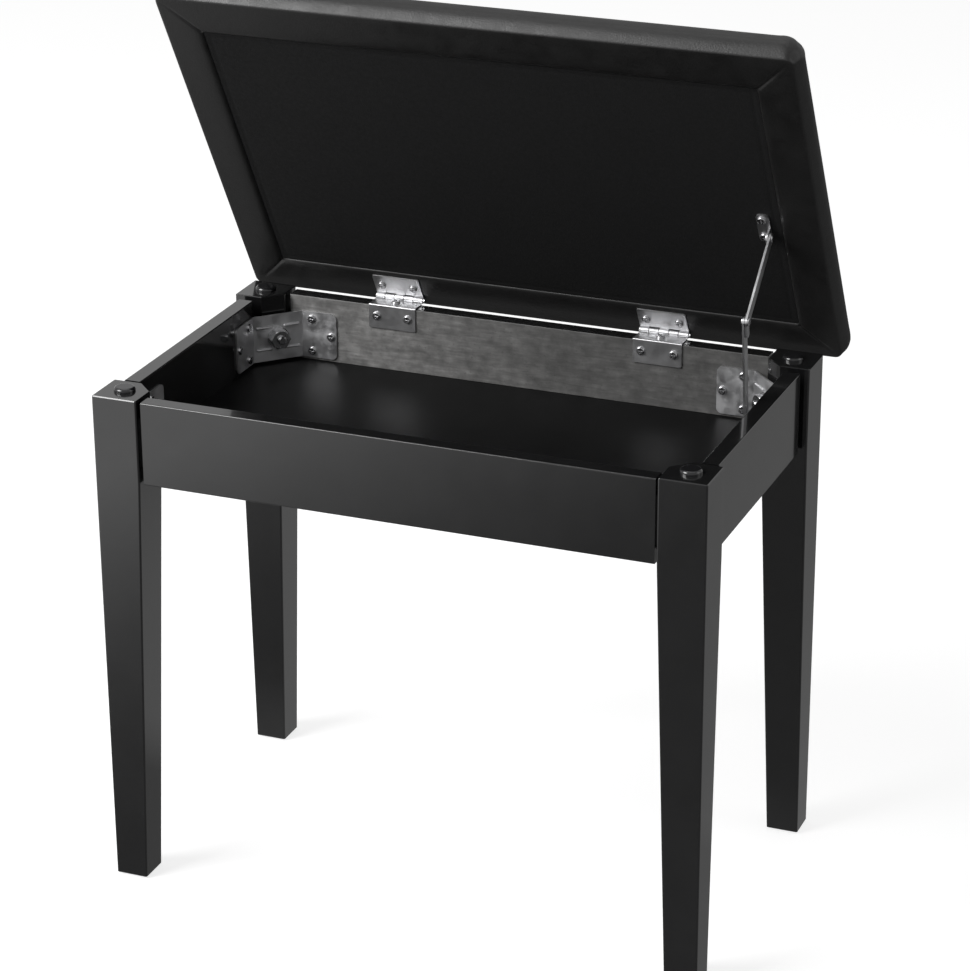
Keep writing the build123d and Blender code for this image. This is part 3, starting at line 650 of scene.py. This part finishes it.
class BENCH_OT_seat_pad(bpy.types.Operator):
    """Makes the padded seat with its cover turned under the lid"""

    bl_idname = "bench.seat_pad"
    bl_label = "Seat pad"

    def execute(self, context):
        sizes = context.scene.bench_pad
        low, high = shut_box("seat_cover")
        bulge = Vector((sizes.bulge, sizes.bulge, 0))
        self.low, self.high = low + bulge, high - bulge
        self.inner_low, self.inner_high = shut_box("dust_cover")
        pad = self.cover_rows(sizes)
        self.lay_rows(pad, sizes)
        self.fill(pad, sizes)
        self.soften(pad)
        self.gather_corners(pad, sizes)
        self.fold_mitres(pad, sizes)
        self.close_underside(pad)
        pad.data.transform(SWING_OPEN)
        pad.data.materials.append(self.leather(context.scene.bench_finishes.cover))
        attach(pad, "lid")
        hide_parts("seat_cover", "seat_foam", "cover_border")
        return {"FINISHED"}

    def cover_rows(self, sizes):
        """The cover as numbered rows: the seat at height 0, then each row one lower."""
        clear_selection()
        bpy.ops.mesh.primitive_grid_add(
            x_subdivisions=sizes.columns, y_subdivisions=sizes.rows, size=2)
        pad = start_piece("seat_pad")
        bpy.ops.object.mode_set(mode="EDIT")
        self.select_open_edge(pad)
        for _ in range(len(WALL_LINE) + len(BORDER_LINE) - 1):
            bpy.ops.mesh.extrude_region_move(TRANSFORM_OT_translate={"value": (0, 0, -1)})
        bpy.ops.object.mode_set(mode="OBJECT")
        self.number_by_place(pad.data)
        return pad

    def number_by_place(self, mesh):
        """Numbers points and faces by their place, so that the filling comes out alike each run."""
        order = sorted(mesh.vertices, key=lambda point: (
            round(-point.co.z), round(point.co.y, 4), round(point.co.x, 4)))
        number = {point.index: place for place, point in enumerate(order)}
        points = [point.co.copy() for point in order]
        faces = []
        for face in mesh.polygons:
            corners = [number[corner] for corner in face.vertices]
            first = corners.index(min(corners))
            faces.append(corners[first:] + corners[:first])
        mesh.clear_geometry()
        mesh.from_pydata(points, [], sorted(faces))

    def close_underside(self, pad):
        """Closes the cover behind the dust sheet, and shades it smooth."""
        make_active(pad)
        bpy.ops.object.mode_set(mode="EDIT")
        self.select_open_edge(pad)
        bpy.ops.mesh.extrude_region_move(TRANSFORM_OT_translate={"value": (0, 0, 0)})
        bpy.ops.mesh.merge(type="CENTER")
        bpy.ops.mesh.select_all(action="SELECT")
        bpy.ops.mesh.normals_make_consistent(inside=False)
        bpy.ops.object.mode_set(mode="OBJECT")
        bpy.ops.object.shade_smooth()

    def select_open_edge(self, pad):
        """Selects the mesh's open edge, in edit mode."""
        bpy.ops.mesh.select_mode(type="EDGE")
        bpy.ops.mesh.select_all(action="DESELECT")
        mesh = bmesh.from_edit_mesh(pad.data)
        for edge in mesh.edges:
            edge.select = edge.is_boundary
        mesh.select_flush_mode()
        bmesh.update_edit_mesh(pad.data)

    def row_line(self, number):
        """The rectangle, corner radius share and height of a numbered row."""
        if number < len(WALL_LINE):
            outset, height = WALL_LINE[number]
            low = self.low - Vector((1, 1, 0)) * outset * MM
            high = self.high + Vector((1, 1, 0)) * outset * MM
            return low, high, 1.0, height * MM
        share, height = BORDER_LINE[number - len(WALL_LINE)]
        low = self.low.lerp(self.inner_low, share)
        high = self.high.lerp(self.inner_high, share)
        return low, high, 1.0 - share, height * MM

    def lay_rows(self, pad, sizes):
        """Lays each numbered row on its line, and crowns the seat."""
        for point in pad.data.vertices:
            number = round(-point.co.z)
            low, high, roundness, height = self.row_line(number)
            middle = (low + high) / 2
            half_x, half_y = (high.x - low.x) / 2, (high.y - low.y) / 2
            outset = max(0.0, half_x - (self.high.x - self.low.x) / 2)
            radius = sizes.inner_corner + (sizes.corner - sizes.inner_corner) * roundness + outset
            radius += sizes.corner_growth * height
            across = edge_crowded(point.co.x, ROW_CROWDING)
            along = edge_crowded(point.co.y, ROW_CROWDING)
            x, y = rounded_corner(across * half_x, along * half_y, half_x, half_y, radius)
            if number == 0:
                height += sizes.crown * (1 - (x / half_x) ** 2) * (1 - (y / half_y) ** 2)
            point.co = Vector((middle.x + x, middle.y + y, self.low.z + height))

    def fill(self, pad, sizes):
        """Fills the cover by a cloth simulation, held at the turned-under border."""
        held = pad.vertex_groups.new(name="held")
        for point in pad.data.vertices:
            height = point.co.z - self.low.z
            held.add([point.index], 1 - smooth_step(height, *HELD_HEIGHTS), "REPLACE")
        before = [point.co.copy() for point in pad.data.vertices]
        filling = pad.modifiers.new("filling", "CLOTH")
        cloth = filling.settings
        for setting, value in CLOTH.items():
            setattr(cloth, setting, value)
        cloth.uniform_pressure_force = sizes.pressure
        cloth.effector_weights.gravity = 0
        filling.point_cache.frame_start = 1
        filling.point_cache.frame_end = sizes.frames
        scene = bpy.context.scene
        for number in range(1, sizes.frames + 1):
            scene.frame_set(number)
        make_active(pad)
        bpy.ops.object.modifier_apply(modifier="filling")
        scene.frame_set(1)
        for point, start in zip(pad.data.vertices, before):
            move = point.co - start
            if move.length > 0:
                point.co = start + move * (
                    sizes.swell * math.tanh(move.length / sizes.swell) / move.length)
        pad.vertex_groups.clear()

    def soften(self, pad):
        """One subdivision, applied."""
        make_active(pad)
        smoother = pad.modifiers.new("smoother", "SUBSURF")
        smoother.levels = 1
        smoother.render_levels = 1
        bpy.ops.object.modifier_apply(modifier="smoother")

    def gather_corners(self, pad, sizes):
        """Small gathers where the cover goes round each corner above the fold."""
        middle = (self.low + self.high) / 2
        half = (self.high - self.low) / 2
        for point in pad.data.vertices:
            height = (point.co.z - self.low.z) / MM
            if not GATHER_RISE[0] < height < GATHER_FADE[1]:
                continue
            x = abs(point.co.x - middle.x) - (half.x - sizes.corner)
            y = abs(point.co.y - middle.y) - (half.y - sizes.corner)
            if x <= 0 or y <= 0 or math.hypot(x, y) < GATHER_FROM * sizes.corner:
                continue
            turn = math.atan2(y, x) / (math.pi / 2)
            fold = 0.5 - 0.5 * math.cos(2 * math.pi * sizes.pleats * turn)
            fade = smooth_step(height, *GATHER_RISE) * (1 - smooth_step(height, *GATHER_FADE))
            inward = Vector((-math.copysign(x, point.co.x - middle.x),
                             -math.copysign(y, point.co.y - middle.y), 0)).normalized()
            point.co += inward * fold * fade * sizes.pleat_depth

    def fold_mitres(self, pad, sizes):
        """The soft folded line from each inner corner of the border towards the outer one."""
        for sign_x in (-1, 1):
            for sign_y in (-1, 1):
                inner = Vector((self.inner_high.x if sign_x > 0 else self.inner_low.x,
                                self.inner_high.y if sign_y > 0 else self.inner_low.y))
                outer = Vector((self.high.x if sign_x > 0 else self.low.x,
                                self.high.y if sign_y > 0 else self.low.y))
                run = outer - inner
                along = run.normalized()
                for point in pad.data.vertices:
                    if point.co.z - self.low.z > MITRE_CEILING:
                        continue
                    offset = point.co.xy - inner
                    share = offset.dot(along) / run.length
                    if not MITRE_SPAN[0] < share < MITRE_SPAN[1]:
                        continue
                    aside = abs(offset.x * along.y - offset.y * along.x)
                    fade = 1 - smooth_step(share, *MITRE_FADE)
                    crease = math.exp(-(aside / sizes.mitre_width) ** 2)
                    point.co.z += sizes.mitre_depth * fade * crease

    def leather(self, colour):
        """Black leather cloth: fine pebbled grain with painted shade in its valleys, soft creases
        and a satin sheen.
        """
        finish, tree, shader, coords = new_finish("black_leather_cloth")
        pebbles = add_node(tree, "ShaderNodeTexVoronoi", {"feature": "SMOOTH_F1"}, {
            "Vector": coords, "Scale": 620.0, "Smoothness": 0.6, "Randomness": 0.9})
        creases = clouds(tree, coords, scale=130.0, detail=4.0)
        cloud = clouds(tree, coords, scale=16.0, detail=3.0)
        dust = specks(tree, coords, scale=120.0, size=0.06, strength=0.3)
        body = blend_colours(tree, cloud, tinted(colour, 0.8), tinted(colour, 1.2))
        # Painted shade: the valleys between the grain's pebbles are coloured darker.
        painted_pit_shade = blend_colours(tree, pebbles.outputs["Distance"], body, tinted(colour, 0.6))
        soft = bump(tree, creases, 0.035 * MM)
        set_shader(
            tree, shader,
            Base_Color=blend_colours(tree, dust, painted_pit_shade, DUST),
            Roughness=clouds(tree, coords, scale=60.0, low=0.36, high=0.50),
            Normal=bump(tree, pebbles.outputs["Distance"], -0.07 * MM, soft))
        return finish


class BENCH_OT_dust_sheet(bpy.types.Operator):
    """Makes the dust sheet stretched inside the border under the seat"""

    bl_idname = "bench.dust_sheet"
    bl_label = "Dust sheet"

    def execute(self, context):
        sizes = context.scene.bench_pad
        low, high = shut_box("dust_cover")
        middle, half = (low + high) / 2, (high - low) / 2
        clear_selection()
        columns, rows = SHEET_ROWS
        bpy.ops.mesh.primitive_grid_add(x_subdivisions=columns, y_subdivisions=rows, size=2)
        sheet = start_piece("dust_sheet")
        for point in sheet.data.vertices:
            x = edge_crowded(point.co.x, SHEET_CROWDING) * half.x
            y = edge_crowded(point.co.y, SHEET_CROWDING) * half.y
            edge = min(half.x - abs(x), half.y - abs(y))
            pressed = sizes.hem_depth * math.exp(-((edge - sizes.hem) / HEM_SPREAD) ** 2)
            slack = SLACK * math.sin(x * SLACK_WAVES[0] + SLACK_START)
            slack *= math.sin(y * SLACK_WAVES[1]) * smooth_step(edge, 0, SLACK_MARGIN)
            point.co = Vector((middle.x + x, middle.y + y, low.z + SHEET_LIFT + pressed + slack))
        wall = sheet.modifiers.new("cloth_thickness", "SOLIDIFY")
        wall.thickness = SHEET_THICKNESS
        wall.offset = 1.0
        make_active(sheet)
        bpy.ops.object.modifier_apply(modifier="cloth_thickness")
        bpy.ops.object.shade_smooth_by_angle(angle=SHEET_SHARP_ANGLE)
        sheet.data.transform(SWING_OPEN)
        sheet.data.materials.append(self.felt(context.scene.bench_finishes.dust_sheet))
        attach(sheet, "lid")
        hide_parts("dust_cover")
        return {"FINISHED"}

    def felt(self, colour):
        """Matt pressed fibre cloth with lint."""
        finish, tree, shader, coords = new_finish("dust_felt")
        fibres = clouds(tree, coords, scale=900.0, detail=6.0)
        cloud = clouds(tree, coords, scale=25.0, detail=4.0)
        lint = specks(tree, coords, scale=170.0, size=0.09, strength=0.35)
        body = blend_colours(tree, fibres, tinted(colour, 0.65), tinted(colour, 1.45))
        uneven = blend_colours(
            tree, math_node(tree, "MULTIPLY", cloud, 0.4), body, tinted(colour, 1.3))
        set_shader(
            tree, shader,
            Base_Color=blend_colours(tree, lint, uneven, LINT),
            Roughness=clouds(tree, coords, scale=300.0, low=0.80, high=0.95),
            Normal=bump(tree, fibres, 0.12 * MM), Specular_IOR_Level=0.3)
        return finish


class BENCH_OT_stage(bpy.types.Operator):
    """Sets the camera, the lamps, the floor and the sky"""

    bl_idname = "bench.stage"
    bl_label = "Stage"

    def execute(self, context):
        stage = context.scene.bench_stage
        context.scene.view_settings.view_transform = "Standard"
        self.camera(context.scene, stage)
        self.lamp("key_lamp", (-1.9, -1.7, 2.3), (1.8, 1.8), stage.key_power)
        self.lamp("fill_lamp", (2.3, 0.3, 1.5), (1.2, 1.6), stage.fill_power)
        self.lamp("top_lamp", (-0.2, 0.5, 2.9), (2.0, 1.4), stage.top_power)
        self.sky(context.scene, stage)
        self.floor(stage)
        return {"FINISHED"}

    def camera(self, scene, stage):
        lens = bpy.data.cameras.new("bench_camera")
        lens.sensor_width = 36.0
        lens.sensor_fit = "HORIZONTAL"
        lens.lens = stage.lens
        lens.shift_x, lens.shift_y = stage.shift
        camera = bpy.data.objects.new("bench_camera", lens)
        camera.matrix_world = (
            Matrix.Translation(Vector(stage.camera_place))
            @ Matrix.Rotation(stage.camera_turn, 4, "Z")
            @ Matrix.Rotation(math.pi / 2 - stage.camera_tilt, 4, "X")
            @ Matrix.Rotation(stage.camera_roll, 4, "Z"))
        scene.collection.objects.link(camera)
        scene.camera = camera

    def lamp(self, name, place, size, power):
        light = bpy.data.lights.new(name, "AREA")
        light.shape = "RECTANGLE"
        light.size, light.size_y = size
        light.energy = power
        lamp = bpy.data.objects.new(name, light)
        lamp.location = place
        lamp.rotation_euler = (LAMP_AIM - Vector(place)).to_track_quat("-Z", "Y").to_euler()
        bpy.context.scene.collection.objects.link(lamp)

    def seen(self, tree, path):
        """1 where the camera looks, straight or through glass, and 0 elsewhere."""
        return math_node(
            tree, "MAXIMUM", path.outputs["Is Camera Ray"], path.outputs["Is Transmission Ray"])

    def sky(self, scene, stage):
        """Even light from all round, which the camera sees as white and reflections as pale."""
        world = bpy.data.worlds.new("studio")
        scene.world = world
        world.use_nodes = True
        tree = world.node_tree
        path = add_node(tree, "ShaderNodeLightPath")
        mirrored = ramp(
            tree, path.outputs["Is Glossy Ray"], 0.0, 1.0, stage.sky, stage.sky_mirrored)
        level = math_node(tree, "MAXIMUM", self.seen(tree, path), mirrored)
        tree.links.new(level, tree.nodes["Background"].inputs["Strength"])
        tree.nodes["Background"].inputs["Color"].default_value = (1, 1, 1, 1)

    def floor(self, stage):
        """A wide pale floor that keeps the shadow."""
        clear_selection()
        bpy.ops.mesh.primitive_plane_add(size=FLOOR_SIZE)
        floor = start_piece("studio_floor")
        bpy.ops.object.mode_set(mode="EDIT")
        bpy.ops.mesh.subdivide(number_cuts=3)
        bpy.ops.object.mode_set(mode="OBJECT")
        finish = bpy.data.materials.new("pale_floor")
        finish.use_nodes = True
        tree = finish.node_tree
        tree.nodes.remove(tree.nodes["Principled BSDF"])
        coords = add_node(tree, "ShaderNodeTexCoord").outputs["Object"]
        path = add_node(tree, "ShaderNodeLightPath")
        tone = stage.floor_tone
        lit = add_node(tree, "ShaderNodeBsdfDiffuse", None, {"Color": (tone, tone, tone, 1)})
        white = add_node(tree, "ShaderNodeEmission", None, {
            "Strength": math_node(tree, "MULTIPLY", self.seen(tree, path), stage.floor_white)})
        both = add_node(tree, "ShaderNodeAddShader", None, {
            0: lit.outputs[0], 1: white.outputs[0]})
        reflected = add_node(tree, "ShaderNodeEmission", None, {
            "Strength": self.falloff(tree, coords)})
        surface = add_node(tree, "ShaderNodeMixShader", None, {
            0: path.outputs["Is Glossy Ray"], 1: both.outputs[0], 2: reflected.outputs[0]})
        tree.links.new(surface.outputs[0], tree.nodes["Material Output"].inputs["Surface"])
        floor.data.materials.append(finish)

    def falloff(self, tree, coords):
        """How bright the floor is in reflections: bright at the front left, dim elsewhere."""
        across = add_node(tree, "ShaderNodeVectorMath", {"operation": "DOT_PRODUCT"}, {
            0: coords, 1: BRIGHT_WAY})
        rise = ramp(tree, across.outputs["Value"], *BRIGHT_SPAN)
        squared = math_node(tree, "MULTIPLY", rise, rise)
        front_left = ramp(tree, squared, 0.0, 1.0, *BRIGHT_LEVELS)
        place = add_node(tree, "ShaderNodeSeparateXYZ", None, {0: coords})
        behind = ramp(tree, place.outputs["Y"], *BEHIND_SPAN, shape="SMOOTHSTEP")
        to_the_right = ramp(
            tree, place.outputs["X"], *RIGHT_SPAN, *BEHIND_LEVELS, shape="SMOOTHSTEP")
        back = math_node(tree, "MULTIPLY", behind, to_the_right)
        return math_node(tree, "MAXIMUM", front_left, back)


class BENCH_PT_panel(bpy.types.Panel):
    """Lists the bench's pieces and its stage"""

    bl_idname = "BENCH_PT_panel"
    bl_label = "Piano bench"
    bl_space_type = "VIEW_3D"
    bl_region_type = "UI"
    bl_category = "Bench"

    def draw(self, context):
        for operator in OPERATORS:
            self.layout.operator(operator.bl_idname)


SETTINGS = (BenchPadSizes, BenchFinishes, BenchStageSettings)
OPERATORS = (
    BENCH_OT_lacquered_wood,
    BENCH_OT_hardware,
    BENCH_OT_bumpers_and_glides,
    BENCH_OT_seat_board,
    BENCH_OT_seat_pad,
    BENCH_OT_dust_sheet,
    BENCH_OT_stage,
)


def register():
    for item in SETTINGS + OPERATORS + (BENCH_PT_panel,):
        bpy.utils.register_class(item)
    bpy.types.Scene.bench_pad = PointerProperty(type=BenchPadSizes)
    bpy.types.Scene.bench_finishes = PointerProperty(type=BenchFinishes)
    bpy.types.Scene.bench_stage = PointerProperty(type=BenchStageSettings)


def unregister():
    del bpy.types.Scene.bench_stage
    del bpy.types.Scene.bench_finishes
    del bpy.types.Scene.bench_pad
    for item in reversed(SETTINGS + OPERATORS + (BENCH_PT_panel,)):
        bpy.utils.unregister_class(item)


def main():
    register()
    bpy.ops.bench.lacquered_wood()
    bpy.ops.bench.hardware()
    bpy.ops.bench.bumpers_and_glides()
    bpy.ops.bench.seat_board()
    bpy.ops.bench.seat_pad()
    bpy.ops.bench.dust_sheet()
    bpy.ops.bench.stage()


if __name__ == "__main__":
    main()
